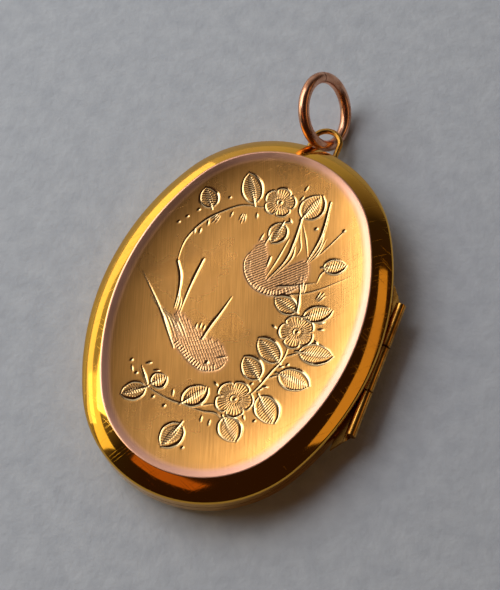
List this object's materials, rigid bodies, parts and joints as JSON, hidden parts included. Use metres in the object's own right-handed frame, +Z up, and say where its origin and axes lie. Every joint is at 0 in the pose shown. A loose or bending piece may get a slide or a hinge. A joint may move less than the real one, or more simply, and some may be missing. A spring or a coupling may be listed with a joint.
{
  "type": "locket",
  "caption": "Oval hinged locket with an engraved dished front, glazed wells inside for two pictures, and a jump ring in a wire loop.",
  "frame": {"origin": "middle of the oval outline, on the surface that the back crest rests on", "axes": "+Z up through the engraved front, +Y along the oval towards the jump ring, +X towards the hinge"},
  "size_m": [0.0301, 0.0491, 0.0074],
  "materials": {
    "case_gold": "polished bevel and wall, satin engraved panel",
    "frame_gold": "satin",
    "hinge_gold": "satin, drawn",
    "loop_gold": "polished wire",
    "rose_gold": "polished wire, lightly worn",
    "glazing": "clear",
    "card": "matt, blank",
    "packing_paper": "matt"
  },
  "bodies": {
    "back_half": {"back_cover": "case_gold", "back_frame": "frame_gold", "back_bezel": "frame_gold", "back_backing_pad": "packing_paper", "back_photo_card": "card", "back_glass": "glazing", "hinge_knuckle_lower": "hinge_gold", "hinge_knuckle_upper": "hinge_gold", "hinge_pin": "hinge_gold", "hinge_bearer_back": "hinge_gold", "ring_loop": "loop_gold"},
    "front_half": {"front_cover": "case_gold", "front_frame": "frame_gold", "front_bezel": "frame_gold", "front_backing_pad": "packing_paper", "front_photo_card": "card", "front_glass": "glazing", "hinge_knuckle_middle": "hinge_gold", "hinge_bearer_front": "hinge_gold"},
    "hanging_ring": {"jump_ring": "rose_gold"}
  },
  "joints": [
    {"name": "cover_hinge", "type": "hinge", "parent": "back_half", "child": "front_half", "pos_m": [0.0148, -0.0007, 0.00265], "axis": [0, 1, 0], "range_deg": [0, 180]},
    {"name": "jump_ring_swing", "type": "hinge", "parent": "back_half", "child": "hanging_ring", "pos_m": [0.0008, 0.0218, 0.0022], "axis": [0, 1, 0], "range_deg": [0, 70]}
  ]
}
